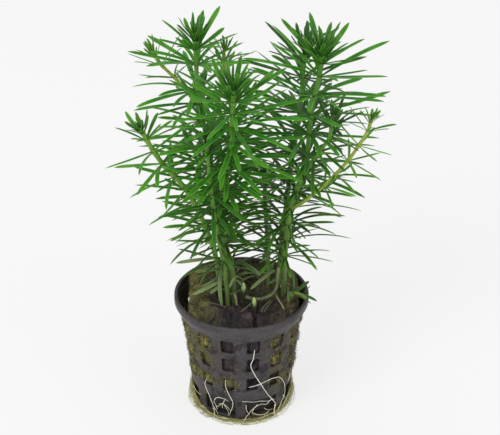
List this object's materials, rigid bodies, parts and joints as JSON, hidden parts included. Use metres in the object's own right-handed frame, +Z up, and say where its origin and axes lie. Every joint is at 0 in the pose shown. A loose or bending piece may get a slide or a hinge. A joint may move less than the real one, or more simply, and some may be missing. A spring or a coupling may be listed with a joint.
{
  "type": "potted pogostemon erectus",
  "caption": "Upright aquarium stem plant with whorls of narrow leaves, rooted in a mineral wool plug inside a round plastic net pot.",
  "frame": {"origin": "on the pot's axis, on the surface that the root mat under the pot rests on", "axes": "+Z up along the pot's axis, -Y towards the front of the plant, +X to the viewer's right"},
  "size_m": [0.1094, 0.0911, 0.165],
  "materials": {
    "pot_plastic": "moulded black plastic with a thin film of algae",
    "mineral_wool": "fibrous and damp, stained brown and olive",
    "mat_fibre": "matted fine roots and algae",
    "root_skin": "damp cream root",
    "bare_stem": "smooth green stem",
    "leaf_green": "smooth green leaf",
    "leaf_pale": "smooth light green leaf",
    "leaf_dark": "smooth dark green leaf"
  },
  "bodies": {
    "root": {"net_pot": "pot_plastic", "stone_wool": "mineral_wool", "root_mat": "mat_fibre", "root_long": "root_skin", "root_looped": "root_skin", "root_left": "root_skin", "root_front_left": "root_skin", "root_arch": "root_skin", "root_fan": "root_skin", "root_front_short": "root_skin", "root_foot": "root_skin", "root_crossing": "root_skin", "root_far_left": "root_skin", "bent_stem": "bare_stem", "cut_stub_back": "bare_stem", "cut_stub_front": "bare_stem", "shoot_right_tall": "leaf_green", "shoot_left_tall": "leaf_green", "shoot_front": "leaf_green", "shoot_left_leaning": "leaf_green", "shoot_right_back": "leaf_dark", "shoot_left_side": "leaf_pale", "shoot_left_inner": "leaf_pale", "shoot_right_thin": "leaf_pale", "shoot_right_dark": "leaf_dark", "shoot_left_low": "leaf_dark", "shoot_middle_back": "leaf_dark", "shoot_right_low": "leaf_dark"}
  },
  "joints": []
}
